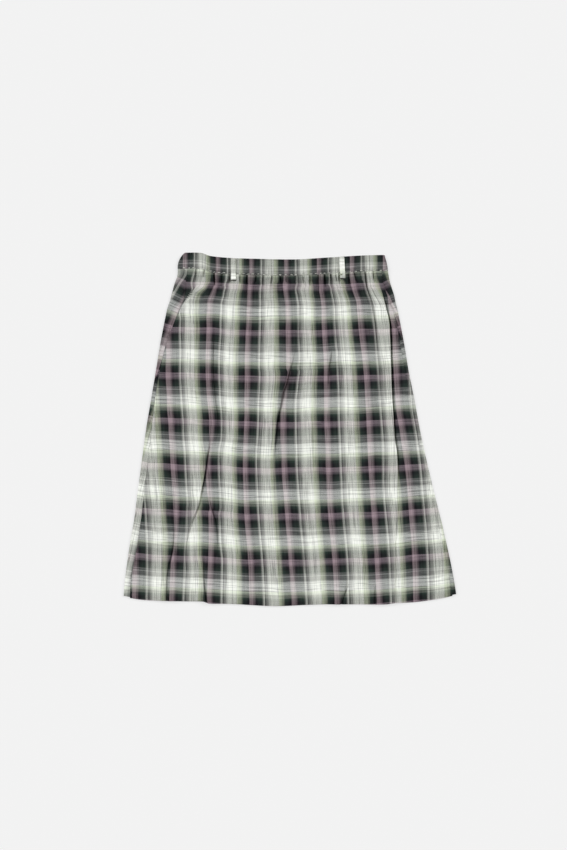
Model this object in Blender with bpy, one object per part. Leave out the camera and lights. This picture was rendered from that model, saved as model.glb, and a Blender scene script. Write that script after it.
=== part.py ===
"""Midi skirt with a gathered elastic waistband and belt loops, laid flat on its back.

Metres, +Z up. The waist points to +Y and the hem to -Y, and the underside of the back panel lies at z = 0.
The skirt is a flattened tube: the back wall lies on the ground, rolls over both side folds and ends at the
side seams on top, where the front wall begins. Widths are read along X from the middle of the outline, and
"drop" is the distance down from the topmost edge of the waistband.
"""

import math
from collections import namedtuple

import bmesh
import bpy
import numpy as np

MM = 0.001

# Driving dimensions, in millimetres.
LENGTH = 706.0  # topmost edge of the band to the lowest point of the hem
CLOTH = 1.2  # one wall of cloth with its turned edges
CLEAR_MIDDLE = 1.2  # air between the two walls, away from the side folds
CLEAR_FOLD = 2.0  # air inside the roll of a side fold
ROLL_REACH = 22.0  # how far from a side fold the upper wall takes to settle
SEAM_GAP = 0.3
BAND_HEIGHT = 32.0
BAND_WALL = 2.4  # two layers of cloth round the elastic
BAND_CLEAR = 0.8
BAND_SETTLE = 12.0  # drop over which the front wall comes down from the band
FOLD_UNDER = 0.6  # share of a fold's height that its underside follows: the rest is doubled cloth
SEAM_CALM = 12  # folds fade out in this part (1/12) of the width beside a side seam
BAND_CALM = 20  # the casing's ripples do so in this part
BACK_SHORTER = 2.0  # the back hem stays this far behind the front hem
HEM_DEPTH = 25.0  # cloth turned up inside along the hem
HEM_TURN = 0.4  # how much thicker each wall is there
HEM_STEP = 2.6  # drop over which a wall takes up that thickness
HEM_LIP = 2.4  # how far above the hem a wall starts to round off
EDGE_ROUNDING = 0.3  # share of the wall that a folded edge loses on each face
LOOP_WIDTH = 10.5
LOOP_THICK = 1.3
LOOP_LENGTH = 43.0
LOOP_BOW = 1.6  # how far the middle of a belt loop stands off the band
LOOP_CROWN = 0.25  # the strip is a little thicker along its middle
LOOP_START = 0.6  # drop of its upper end below the band's top edge
LOOP_STEP_DOWN = 12.0  # drop over which it comes down from the band to the panel

# The outline and the side seams. left and right are the side folds, and the seams lie inside them on top.
Row = namedtuple("Row", "drop left right left_seam right_seam")
OUTLINE = [
    Row(0, -211, 188, -198, 177),
    Row(8, -218, 190, -200, 178),
    Row(22, -224, 194, -203, 180),
    Row(44, -225, 197, -206, 184),
    Row(62, -231, 201, -209, 187),
    Row(84, -237, 208, -211, 194),
    Row(98, -241, 211, -214, 200),
    Row(114, -246, 215, -221, 206),
    Row(174, -258, 227, -245, 219),
    Row(234, -268, 237, -260, 229),
    Row(294, -278, 249, -270, 241),
    Row(354, -288, 260, -277, 253),
    Row(414, -296, 273, -284, 265),
    Row(474, -304, 287, -291, 279),
    Row(534, -312, 302, -298, 294),
    Row(594, -322, 316, -307, 308),
    Row(654, -330, 328, -318, 320),
    Row(688, -333, 333, -320, 325),
    Row(706, -334, 334, -321, 326),
]

# The waistband's upper edge sags in the middle, where the front lies lower than the turned-over side.
TopEdge = namedtuple("TopEdge", "across drop")
TOP_EDGE = [
    TopEdge(-226, 0),
    TopEdge(-178, 0),
    TopEdge(-160, 6),
    TopEdge(-120, 10),
    TopEdge(-60, 12),
    TopEdge(10, 13),
    TopEdge(80, 9),
    TopEdge(150, 5),
    TopEdge(200, 4),
]

# The hem hangs lowest just left of the middle and rises towards both side folds.
HemEdge = namedtuple("HemEdge", "across drop")
HEM_EDGE = [
    HemEdge(-336, 687),
    HemEdge(-290, 694),
    HemEdge(-170, 697),
    HemEdge(-110, 701),
    HemEdge(-30, 706),
    HemEdge(60, 702),
    HemEdge(190, 702),
    HemEdge(250, 698),
    HemEdge(300, 691),
    HemEdge(336, 683),
]

# Large folds of the front wall. A fold's crest runs from start through middle to end, each "across, drop".
# gentle and steep are its half widths, and side is the side its steep flank faces: -1 left, 1 right.
FOLD_RISE = 0.3  # share of a fold's length over which it rises, and runs out unless it reaches the hem
Fold = namedtuple("Fold", "start middle end height gentle steep side")
FOLDS = [
    Fold((182, 62), (198, 210), (212, 450), 5.4, 26, 8, 1),
    Fold((206, 560), (209, 640), (206, 710), 3.6, 24, 8, 1),
    Fold((-148, 80), (-150, 240), (-150, 370), 3.4, 24, 9, 1),
    Fold((-156, 370), (-178, 480), (-210, 640), 5.0, 30, 9, 1),
    Fold((-166, 610), (-164, 670), (-160, 712), 3.4, 20, 8, -1),
    Fold((-222, 560), (-240, 620), (-240, 712), 3.8, 22, 9, -1),
    Fold((8, 210), (-16, 290), (-32, 380), 3.2, 26, 10, -1),
    Fold((-152, 490), (-140, 550), (-144, 600), 2.6, 18, 9, 1),
    Fold((22, 100), (22, 150), (14, 190), 2.0, 18, 9, 1),
    Fold((84, 190), (80, 250), (78, 300), 1.8, 22, 12, -1),
    Fold((112, 640), (108, 680), (104, 712), 2.4, 22, 10, -1),
    Fold((-90, 60), (-84, 170), (-92, 300), 2.0, 24, 14, -1),
    Fold((120, 60), (132, 200), (136, 360), 2.2, 28, 14, 1),
    Fold((-60, 470), (-64, 590), (-70, 712), 2.2, 34, 22, -1),
    Fold((50, 430), (60, 570), (70, 712), 2.4, 36, 22, 1),
]

# Ripples come at uneven spacing: each pair of wander is how far they drift and how fast that changes across
# the width. unevenness is the share by which their heights differ, and first is where that unevenness starts.
Ripples = namedtuple("Ripples", "count height wander unevenness first")

# Gathers below the band: small ripples that run down from it and fade at uneven lengths.
GATHERS = Ripples(18, 1.9, ((0.28, 17.0), (0.2, 41.0)), 0.28, 0)
GATHER_FADE = 46.0
FADE_UNEVENNESS = 0.6
FADE_FIRST = 31

# Ripples of the elastic casing across its front.
CASING = Ripples(26, 0.7, ((0.3, 23.0),), 0.3, 7)
CASING_AT_TOP = 0.55  # share of their height that is left at the band's folded top
BAND_CROWN = 0.25  # the elastic makes the band a little fuller along its middle

# How fast and from where the two waves run that make things uneven.
UNEVEN_RATES = (12.9898, 3.7)
UNEVEN_STARTS = (4.1, 1.3)

# Belt loops: centre of the upper end, and how far the lower end leans to the right.
Loop = namedtuple("Loop", "name across lean")
LOOPS = [
    Loop("belt_loop_left", -113, 0.0),
    Loop("belt_loop_right", 103, 2.5),
]

# Mesh divisions.
FRONT_COLUMNS = 76
PANEL_ROWS = 24
ROW_CROWDING = 1.35  # rows are closer together below the band, where the gathers are
BACK_COLUMNS = 7
STRIP_COLUMNS = 3
ROLL_STEPS = 6
BAND_LEVELS = (0.0, 0.05, 0.35, 0.65, 0.92, 1.0)  # shares of the band's height, closer at its folded top
BAND_COLUMNS = 104
LOOP_ROWS = 12

SHEET_COLOUR = (0.29, 0.31, 0.28, 1.0)
LOOP_COLOUR = (0.74, 0.75, 0.71, 1.0)
CLOTH_ROUGHNESS = 0.85


def smooth_read(rows, column, at):
    """Reads a named column at a place along the table's first column, on a smooth curve through its rows."""
    key = [float(row[0]) for row in rows]
    value = [float(getattr(row, column)) for row in rows]
    at = min(max(at, key[0]), key[-1])
    i = min(max(int(np.searchsorted(key, at)) - 1, 0), len(key) - 2)

    def slope(k):
        low, high = max(k - 1, 0), min(k + 1, len(key) - 1)
        return (value[high] - value[low]) / (key[high] - key[low])

    span = key[i + 1] - key[i]
    t = (at - key[i]) / span
    return (
        value[i] * (2 * t**3 - 3 * t**2 + 1)
        + slope(i) * span * (t**3 - 2 * t**2 + t)
        + value[i + 1] * (3 * t**2 - 2 * t**3)
        + slope(i + 1) * span * (t**3 - t**2)
    )


def ease(t):
    t = min(max(t, 0.0), 1.0)
    return t * t * (3 - 2 * t)


def blend(a, b, t):
    return a + (b - a) * t


def uneven(k, spread):
    """A fixed uneven number for item k, between -spread and spread."""
    fast, slow = (rate * k + start for rate, start in zip(UNEVEN_RATES, UNEVEN_STARTS))
    return spread * math.sin(fast) * math.cos(slow)


def ripple_at(ripples, share):
    """Number of the ripple at a share of the width, and the height of its surface there."""
    phase = share * ripples.count + sum(reach * math.sin(share * rate) for reach, rate in ripples.wander)
    k = math.floor(phase)
    height = ripples.height * (1 - ripples.unevenness + uneven(k + ripples.first, ripples.unevenness))
    return k, height * math.sin(math.pi * (phase - k)) ** 2


def fold_lift(fold, across, drop):
    """Height of one fold's crest over the front wall at a place."""
    top, bottom = fold.start[1], fold.end[1]
    if not top < drop < bottom:
        return 0.0
    t = (drop - top) / (bottom - top)
    bend = (fold.middle[1] - top) / (bottom - top)
    lean = fold.middle[0] - blend(fold.start[0], fold.end[0], bend)
    crest = blend(fold.start[0], fold.end[0], t) + lean * t * (1 - t) / (bend * (1 - bend))
    away = (across - crest) * fold.side
    width = fold.steep if away > 0 else fold.gentle
    runs_off = bottom > LENGTH
    fade = ease(t / FOLD_RISE) * (1.0 if runs_off else ease((1 - t) / FOLD_RISE))
    return fold.height * fade * math.exp(-((away / width) ** 2))


def gather_lift(share, below):
    """Height of the gathers at a share of the width between the side seams, and a distance below the band."""
    k, height = ripple_at(GATHERS, share)
    fade = GATHER_FADE * (1 + uneven(k + FADE_FIRST, FADE_UNEVENNESS))
    return height * math.exp(-((below / fade) ** 2))


def edge_place(column, drop_at):
    """Where a side fold or a side seam crosses the row whose drop is drop_at(across)."""
    across = 0.0
    for _ in range(4):
        across = smooth_read(OUTLINE, column, drop_at(across))
    return across


def side_share(across, drop):
    """Share of the width between the side seams."""
    left = smooth_read(OUTLINE, "left_seam", drop)
    right = smooth_read(OUTLINE, "right_seam", drop)
    return min(max((across - left) / (right - left), 0.0), 1.0)


def band_drop(across, t):
    """Drop at a share t of the way down the waistband."""
    return smooth_read(TOP_EDGE, "drop", across) + BAND_HEIGHT * t


def panel_drop(across, t, shorter=0.0):
    """Drop at a share t of the way from the band's lower edge to the hem."""
    return blend(band_drop(across, 1) + SEAM_GAP, smooth_read(HEM_EDGE, "drop", across) - shorter, t)


def hem_turn(across, drop):
    """Extra thickness, towards the inside, where the hem is turned up."""
    above_hem = smooth_read(HEM_EDGE, "drop", across) - drop
    return HEM_TURN * ease((HEM_DEPTH + HEM_STEP / 2 - above_hem) / HEM_STEP)


def upper_wall(across, drop):
    """Underside and top of the upper wall at a place below the band."""
    left, right = smooth_read(OUTLINE, "left", drop), smooth_read(OUTLINE, "right", drop)
    from_fold = max(min(across - left, right - across), 0.0)
    clear = blend(CLEAR_MIDDLE, CLEAR_FOLD, math.exp(-((from_fold / ROLL_REACH) ** 2)))
    below = max(drop - band_drop(across, 1), 0.0)
    middle_of_band = BAND_WALL + BAND_CLEAR + 0.5 * (BAND_WALL - CLOTH)
    under = blend(CLOTH + clear, middle_of_band, math.exp(-((below / BAND_SETTLE) ** 2)))
    share = side_share(across, drop)
    seam_fade = ease(min(share, 1 - share) * SEAM_CALM)
    lift = seam_fade * (sum(fold_lift(fold, across, drop) for fold in FOLDS) + gather_lift(share, below))
    return under + FOLD_UNDER * lift, under + CLOTH + lift


def place(across, drop, height):
    return (across * MM, (LENGTH / 2 - drop) * MM, height * MM)


def rounded_edge(outer_row, inner_row):
    """Pulls the two faces of a wall together along a folded edge."""
    for j, (far, near) in enumerate(zip(outer_row, inner_row)):
        outer_row[j] = tuple(blend(a, b, EDGE_ROUNDING) for a, b in zip(far, near))
        inner_row[j] = tuple(blend(b, a, EDGE_ROUNDING) for a, b in zip(far, near))


def closed_wall(name, outer, inner, colour):
    """A wall from two grids of points, rows by columns, joined round their edges into one closed body."""
    rows, columns = len(outer), len(outer[0])
    mesh = bmesh.new()
    skins = [[[mesh.verts.new(point) for point in row] for row in grid] for grid in (outer, inner)]
    for i in range(rows - 1):
        for j in range(columns - 1):
            for skin, order in ((skins[0], 1), (skins[1], -1)):
                corners = (skin[i][j], skin[i + 1][j], skin[i + 1][j + 1], skin[i][j + 1])
                mesh.faces.new(corners[::order])
    last_row, last_column = rows - 1, columns - 1
    rim = [(0, j) for j in range(last_column)]
    rim += [(i, last_column) for i in range(last_row)]
    rim += [(last_row, j) for j in range(last_column, 0, -1)]
    rim += [(i, 0) for i in range(last_row, 0, -1)]
    for (i, j), (k, m) in zip(rim, rim[1:] + rim[:1]):
        mesh.faces.new((skins[0][i][j], skins[0][k][m], skins[1][k][m], skins[1][i][j]))
    bmesh.ops.recalc_face_normals(mesh, faces=mesh.faces)
    if mesh.calc_volume(signed=True) < 0:
        bmesh.ops.reverse_faces(mesh, faces=mesh.faces)
    data = bpy.data.meshes.new(name)
    mesh.to_mesh(data)
    mesh.free()
    data.shade_smooth()
    data.materials.append(cloth_material(name, colour))
    piece = bpy.data.objects.new(name, data)
    bpy.context.scene.collection.objects.link(piece)
    return piece


def cloth_material(name, colour):
    material = bpy.data.materials.new(name)
    material.use_nodes = True
    shader = material.node_tree.nodes["Principled BSDF"]
    shader.inputs["Base Color"].default_value = colour
    shader.inputs["Roughness"].default_value = CLOTH_ROUGHNESS
    shader.inputs["Metallic"].default_value = 0.0
    return material


def panel_shares():
    """Shares down a panel: crowded below the band, then the hem's turning and its folded edge."""
    span = LENGTH - BAND_HEIGHT
    hem_top = 1 - HEM_DEPTH / span
    body = [hem_top * (i / PANEL_ROWS) ** ROW_CROWDING for i in range(PANEL_ROWS + 1)]
    return body + [hem_top + HEM_STEP / span, 1 - HEM_LIP / span, 1.0]


def front_wall(name, shares, columns, drop_at, wall_at, rounded_row):
    """A wall between the two side seams. wall_at(across, drop) gives its underside and top."""
    outer, inner = [], []
    for t in shares:
        left = edge_place("left_seam", lambda x, t=t: drop_at(x, t)) + SEAM_GAP / 2
        right = edge_place("right_seam", lambda x, t=t: drop_at(x, t)) - SEAM_GAP / 2
        outer_row, inner_row = [], []
        for j in range(columns + 1):
            across = blend(left, right, j / columns)
            drop = drop_at(across, t)
            under, top = wall_at(across, drop)
            inner_row.append(place(across, drop, under))
            outer_row.append(place(across, drop, top))
        outer.append(outer_row)
        inner.append(inner_row)
    rounded_edge(outer[rounded_row], inner[rounded_row])
    return closed_wall(name, outer, inner, SHEET_COLOUR)


def side_section(seam, edge, sign, wall, under_at):
    """Points of one side of a wrapped wall, from its seam on top round the side fold to the ground.

    sign is -1 on the left and 1 on the right. Each entry is the outer and the inner point, "across, height".
    """
    radius = (under_at(edge - sign * 2 * wall) + wall) / 2
    centre = edge - sign * radius
    points = []
    for k in range(STRIP_COLUMNS):
        across = blend(seam, centre, k / STRIP_COLUMNS)
        under = under_at(across)
        points.append(((across, under + wall), (across, under)))
    for k in range(ROLL_STEPS + 1):
        angle = math.pi * (0.5 - k / ROLL_STEPS)
        out, up = sign * math.cos(angle), math.sin(angle)
        far, near = ((centre + reach * out, radius + reach * up) for reach in (radius, radius - wall))
        points.append((far, near))
    return points


def wrapped_wall(name, shares, drop_at, wall, under_at, turn_at, rounded_row):
    """A wall that lies on the ground and rolls over both side folds up to the side seams.

    under_at(across, drop) is the height of its underside on top, and turn_at(across, drop) its extra
    thickness on the ground, towards the inside.
    """
    outer, inner = [], []
    for t in shares:
        row = {}
        for column in ("left", "right", "left_seam", "right_seam"):
            row[column] = edge_place(column, lambda x, t=t: drop_at(x, t))
        sides = []
        for fold, sign in (("left", -1), ("right", 1)):
            seam = row[fold + "_seam"] + sign * SEAM_GAP / 2
            sides.append(side_section(seam, row[fold], sign, wall, lambda x, t=t: under_at(x, drop_at(x, t))))
        start, end = sides[0][-1][0][0], sides[1][-1][0][0]
        flat = []
        for k in range(1, BACK_COLUMNS):
            across = blend(start, end, k / BACK_COLUMNS)
            flat.append(((across, 0.0), (across, wall + turn_at(across, drop_at(across, t)))))
        section = sides[0] + flat + sides[1][::-1]
        outer.append([place(x, drop_at(x, t), z) for (x, z), _ in section])
        inner.append([place(x, drop_at(x, t), z) for _, (x, z) in section])
    rounded_edge(outer[rounded_row], inner[rounded_row])
    return closed_wall(name, outer, inner, SHEET_COLOUR)


def make_front_panel():
    def wall_at(across, drop):
        under, top = upper_wall(across, drop)
        return under - hem_turn(across, drop), top

    return front_wall("front_panel", panel_shares(), FRONT_COLUMNS, panel_drop, wall_at, -1)


def make_back_panel():
    return wrapped_wall(
        "back_panel",
        panel_shares(),
        lambda across, t: panel_drop(across, t, BACK_SHORTER * t),
        CLOTH,
        lambda across, drop: upper_wall(across, drop)[0],
        hem_turn,
        -1,
    )


def band_wall(across, drop):
    """Underside and top of the front of the waistband."""
    under = BAND_WALL + BAND_CLEAR
    t = min(max((drop - band_drop(across, 0)) / BAND_HEIGHT, 0.0), 1.0)
    share = side_share(across, drop)
    _, height = ripple_at(CASING, share)
    height *= ease(min(share, 1 - share) * BAND_CALM) * blend(CASING_AT_TOP, 1.0, t)
    return under, under + BAND_WALL + BAND_CROWN * math.sin(math.pi * t) + height


def make_waistband_front():
    return front_wall("waistband_front", BAND_LEVELS, BAND_COLUMNS, band_drop, band_wall, 0)


def make_waistband_back():
    return wrapped_wall(
        "waistband_back",
        BAND_LEVELS,
        band_drop,
        BAND_WALL,
        lambda across, drop: BAND_WALL + BAND_CLEAR,
        lambda across, drop: 0.0,
        0,
    )


def loop_base(middle, drop):
    """Highest point of the band or of the gathers under one cross-section of a belt loop."""
    tops = []
    for side in (-1, -0.5, 0, 0.5, 1):
        across = middle + side * LOOP_WIDTH / 2
        on_band = band_wall(across, drop)[1]
        on_panel = upper_wall(across, drop)[1]
        below = drop - band_drop(across, 1)
        tops.append(blend(on_band, on_panel, ease(below / LOOP_STEP_DOWN)) if below > 0 else on_band)
    return max(tops)


def make_belt_loop(loop):
    outer, inner = [], []
    start = band_drop(loop.across, 0) + LOOP_START
    for i in range(LOOP_ROWS + 1):
        t = i / LOOP_ROWS
        drop = start + LOOP_LENGTH * t
        middle = loop.across + loop.lean * t
        height = loop_base(middle, drop) + SEAM_GAP + LOOP_BOW * math.sin(math.pi * t)
        outer_row, inner_row = [], []
        for side in (-1, 0, 1):
            across = middle + side * LOOP_WIDTH / 2
            crown = LOOP_CROWN if side == 0 else 0.0
            inner_row.append(place(across, drop, height))
            outer_row.append(place(across, drop, height + LOOP_THICK + crown))
        outer.append(outer_row)
        inner.append(inner_row)
    return closed_wall(loop.name, outer, inner, LOOP_COLOUR)


def main():
    for old in list(bpy.data.objects):
        bpy.data.objects.remove(old, do_unlink=True)
    skirt = bpy.data.objects.new("midi_skirt", None)
    bpy.context.scene.collection.objects.link(skirt)
    pieces = [make_front_panel(), make_back_panel(), make_waistband_front(), make_waistband_back()]
    pieces += [make_belt_loop(loop) for loop in LOOPS]
    for piece in pieces:
        piece.parent = skirt


main()
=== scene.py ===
import math

import bpy
import numpy as np
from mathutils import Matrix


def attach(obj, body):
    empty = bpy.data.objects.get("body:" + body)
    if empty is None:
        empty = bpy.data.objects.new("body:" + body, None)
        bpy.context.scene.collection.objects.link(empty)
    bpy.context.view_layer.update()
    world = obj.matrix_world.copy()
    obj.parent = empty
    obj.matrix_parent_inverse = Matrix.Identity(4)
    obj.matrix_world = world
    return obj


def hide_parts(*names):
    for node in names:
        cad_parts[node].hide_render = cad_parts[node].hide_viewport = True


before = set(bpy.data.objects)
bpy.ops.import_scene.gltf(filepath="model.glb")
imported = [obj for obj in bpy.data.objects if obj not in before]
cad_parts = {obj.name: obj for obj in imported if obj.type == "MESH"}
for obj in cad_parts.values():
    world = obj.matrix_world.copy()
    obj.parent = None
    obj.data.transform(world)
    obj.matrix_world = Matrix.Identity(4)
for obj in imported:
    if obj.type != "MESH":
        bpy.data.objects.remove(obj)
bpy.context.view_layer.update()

# A checked midi skirt laid flat on its back, seen from straight above.
# Lengths are in millimetres until a mesh is made. "across" runs to the right from the middle of the outline,
# and "drop" is the distance down from the highest point of the waistband.
scene = bpy.context.scene
mm = 0.001
print("frame loaded")

# How the skirt lies, in the same sizes as its solids.
lay = {
    "length": 706.0,
    "bandHeight": 32.0,
    "cloth": 0.9,  # one wall of cloth
    "clearMiddle": 1.5,  # air between the two walls
    "clearFold": 2.3,  # the same inside a side fold
    "rollReach": 22.0,  # how far from a side fold the upper wall takes to settle
    "bandWall": 2.4,  # casing with the elastic in it
    "bandUnder": 3.2,  # underside of the casing's front
    "bandSettle": 12.0,  # drop over which the front comes down from the casing
    "backShorter": 2.0,
    "seamGap": 0.3,
    # drop, left fold, right fold, left seam, right seam
    "outline": [
        (0, -211, 188, -198, 177),
        (8, -218, 190, -200, 178),
        (22, -224, 194, -203, 180),
        (44, -225, 197, -206, 184),
        (62, -231, 201, -209, 187),
        (84, -237, 208, -211, 194),
        (98, -241, 211, -214, 200),
        (114, -246, 215, -221, 206),
        (174, -258, 227, -245, 219),
        (234, -268, 237, -260, 229),
        (294, -278, 249, -270, 241),
        (354, -288, 260, -277, 253),
        (414, -296, 273, -284, 265),
        (474, -304, 287, -291, 279),
        (534, -312, 302, -298, 294),
        (594, -322, 316, -307, 308),
        (654, -330, 328, -318, 320),
        (688, -333, 333, -320, 325),
        (706, -334, 334, -321, 326),
    ],
    # across, drop
    "topEdge": [(-226, 0), (-178, 0), (-160, 6), (-120, 10), (-60, 12), (10, 13), (80, 9), (150, 5),
                (200, 4)],
    "topDip": 12.0,  # about how far the top edge dips in its middle
    "hemEdge": [(-336, 687), (-290, 694), (-210, 696.5), (-173, 697), (-163, 700.5), (-110, 702), (-30, 706),
                (60, 702.5), (190, 702.5), (208, 700), (250, 698), (300, 691), (336, 683)],
}


def smoothRead(table, column, at):
    # a column of a table, read on a smooth curve at places along its first column
    rows = np.array(table, float)
    key, value = rows[:, 0], rows[:, column]
    at = np.clip(at, key[0], key[-1])
    i = np.clip(np.searchsorted(key, at) - 1, 0, len(key) - 2)
    low = np.maximum(np.arange(len(key)) - 1, 0)
    high = np.minimum(np.arange(len(key)) + 1, len(key) - 1)
    slope = (value[high] - value[low]) / (key[high] - key[low])
    span = key[i + 1] - key[i]
    t = (at - key[i]) / span
    return (value[i] * (2 * t**3 - 3 * t**2 + 1) + slope[i] * span * (t**3 - 2 * t**2 + t)
            + value[i + 1] * (3 * t**2 - 2 * t**3) + slope[i + 1] * span * (t**3 - t**2))


def ease(t):
    t = np.clip(t, 0.0, 1.0)
    return t * t * (3 - 2 * t)


def blend(a, b, t):
    return a + (b - a) * t


def bump(x):
    return np.exp(-(x**2))


def uneven(k, spread):
    # a fixed uneven number for item k, between -spread and spread
    return spread * np.sin(12.9898 * k + 4.1) * np.cos(3.7 * k + 1.3)


def mostly(k, spread):
    # an uneven share for item k, 1 at the most
    return 1 - spread + uneven(k, spread)


leftFold, rightFold, leftSeam, rightSeam = 1, 2, 3, 4


def edgeAt(column, drop):
    return smoothRead(lay["outline"], column, drop)


def hemAt(across):
    return smoothRead(lay["hemEdge"], 1, across)


def insideOf(left, right, across, drop):
    # how far a point lies inside both side folds or both side seams
    return np.maximum(np.minimum(across - edgeAt(left, drop), edgeAt(right, drop) - across), 0.0)


def edgePlace(column, dropAt, t):
    # where a side fold or side seam crosses the row whose drop is dropAt(across, t), found in a few rounds
    across = np.zeros_like(t)
    for _ in range(5):
        across = edgeAt(column, dropAt(across, t))
    return across


def seamEdges(dropAt, t):
    # the front's own edges, just inside the two side seams
    gap = lay["seamGap"] / 2
    return edgePlace(leftSeam, dropAt, t) + gap, edgePlace(rightSeam, dropAt, t) - gap


def bandDrop(across, t):
    return smoothRead(lay["topEdge"], 1, across) + lay["bandHeight"] * t


def frontDrop(across, t):
    return blend(bandDrop(across, 1) + lay["seamGap"], hemAt(across), t)


def backDrop(across, t):
    return frontDrop(across, t) - lay["backShorter"] * t


# Folds and creases of the front. The first list is the bottom of a crease as "drop, across" points, from its
# upper to its lower end, and the second one has the sizes named here. The cloth rises to its height beside
# the crease and runs out gently there, and to a share far of that height on the other side, within reach.
# side is the side that the crest looks to, -1 left and 1 right. sharp is the half width of the crease towards
# the crest and groove towards the other side, lean tips the two edges together, and tuck is more cloth hidden
# in it. It rises and runs out over the lengths rise and fall, and settles clear of a side seam.
foldSizes = ("height", "far", "gentle", "reach", "sharp", "groove", "side", "lean", "tuck", "rise", "fall",
             "clear")
foldTable = {
    "rightUpper": ([(56, 179), (100, 189.5), (115, 192.8), (127, 196), (140, 198.4), (156, 199.4),
        (186, 200.4), (217, 201.4), (268, 203), (320, 206), (368, 209), (398, 213.5), (450, 216),
        (500, 215)], (10.5, 0.75, 26, 18, 1.3, 4.4, 1, 0.2, 12, 60, 130, 10)),
    "rightLower": ([(450, 216), (520, 214), (560, 212), (596, 210), (654, 210), (720, 212)],
        (6, 0.6, 24, 18, 2.2, 4, 1, 0.1, 4, 110, 0, 22)),
    "leftUpper": ([(140, -151), (190, -154), (226, -154.5), (262, -153), (294, -150), (320, -146.5),
        (345, -145), (368, -146), (390, -149)], (6.8, 0.6, 24, 18, 2, 4.4, 1, 0.05, -4, 50, 45, 22)),
    "leftLong": ([(348, -160), (383, -161.2), (405, -165.6), (418, -167), (439, -170), (474, -176.6),
        (505, -183), (527, -191.8), (548, -199.6), (570, -204.8), (601, -209.2), (650, -215)],
        (8.6, 0.6, 28, 22, 1.2, 3.2, 1, 0.2, 4, 62, 195, 22)),
    "hemMiddleLeft": ([(590, -177), (628, -172), (666, -170), (720, -164)],
        (7.6, 0.6, 18, 16, 1.8, 3.6, -1, 0.1, 0, 50, 0, 22)),
    "hemLeft": ([(500, -232), (560, -231), (595, -234), (628, -242), (654, -245), (720, -246)],
        (6.2, 0.7, 22, 18, 1.6, 4.2, -1, 0.1, 3, 90, 0, 22)),
    "middle": ([(185, 13), (212, 7.6), (231, 0.6), (246, -4.6), (262, -8.6), (277, -14), (292, -17),
        (308, -20), (326, -24.6), (344, -27), (369, -29.2), (388, -30.8), (440, -34)],
        (10, 0.5, 26, 20, 1.8, 4.6, 1, 0.15, -1, 80, 80, 22)),
    "leftShort": ([(470, -161), (498, -161), (538, -149), (590, -146), (630, -150)],
        (6.6, 0.6, 18, 14, 1.8, 3.8, 1, 0.1, 0, 40, 60, 22)),
    "leftSoft": ([(440, -144), (485, -134), (546, -116), (600, -108)],
        (3.2, 0.7, 22, 20, 7, 8, 1, 0, 0, 50, 60, 22)),
    "middleUpper": ([(90, 24), (116, 22), (182, 15), (215, 10)],
        (3.8, 0.7, 18, 16, 3, 4, 1, 0, 0, 40, 50, 22)),
    "rightOfMiddle": ([(186, 85), (200, 82.5), (213, 80.5), (225, 78.6), (250, 76.5), (300, 75)],
        (5.4, 0.6, 22, 18, 1.4, 3.2, 1, 0.1, -4, 24, 70, 22)),
    "hemRight": ([(636, 118), (664, 114), (692, 105), (720, 100)],
        (7, 0.6, 18, 14, 1.6, 3, 1, 0, -2, 36, 0, 22)),
    "hemFarRight": ([(650, 171), (680, 170), (720, 168)], (5.4, 0.6, 16, 12, 1.6, 3, -1, 0, -2, 30, 0, 22)),
    "thirdLeft": ([(60, -90), (150, -85), (220, -86), (300, -92)],
        (3, 0.7, 24, 22, 7, 8, -1, 0, 0, 70, 70, 22)),
    "thirdRight": ([(60, 122), (140, 128), (240, 135), (360, 138)],
        (3.2, 0.7, 28, 24, 7, 8, 1, 0, 0, 80, 90, 22)),
    "hemSoftLeft": ([(450, -60), (590, -64), (720, -72)], (3.2, 0.8, 34, 30, 14, 14, -1, 0, 0, 90, 0, 22)),
    "hemSoftRight": ([(420, 50), (570, 60), (720, 70)], (3.2, 0.8, 36, 30, 14, 14, 1, 0, 0, 90, 0, 22)),
    "lightColumnRight": ([(40, 146), (48, 148.4), (69, 154.8), (107, 165.2), (148, 171.6), (184, 174),
        (240, 176)], (5.6, 0.6, 14, 12, 1.6, 3.2, -1, 0.1, 3, 30, 80, 8)),
    "rightSide": ([(330, 236), (420, 252), (520, 272), (600, 290), (640, 296)],
        (3.2, 0.6, 16, 12, 4, 5, 1, 0, 0, 80, 80, 14)),
    "seamCorner": ([(60, -186), (68, -189), (77, -194.5), (84, -200), (91, -206), (98, -211.5),
        (108, -217.5), (120, -223), (150, -238.5)], (9, 0.3, 22, 9, 1.2, 3.4, -1, 0.2, 15, 22, 60, 3)),
}
folds = {name: dict(zip(foldSizes, sizes), line=line) for name, (line, sizes) in foldTable.items()}
creaseForm = {"steep": 1.4, "leanReach": 3.0}  # how steeply a crease opens, and how far its lean reaches

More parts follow.
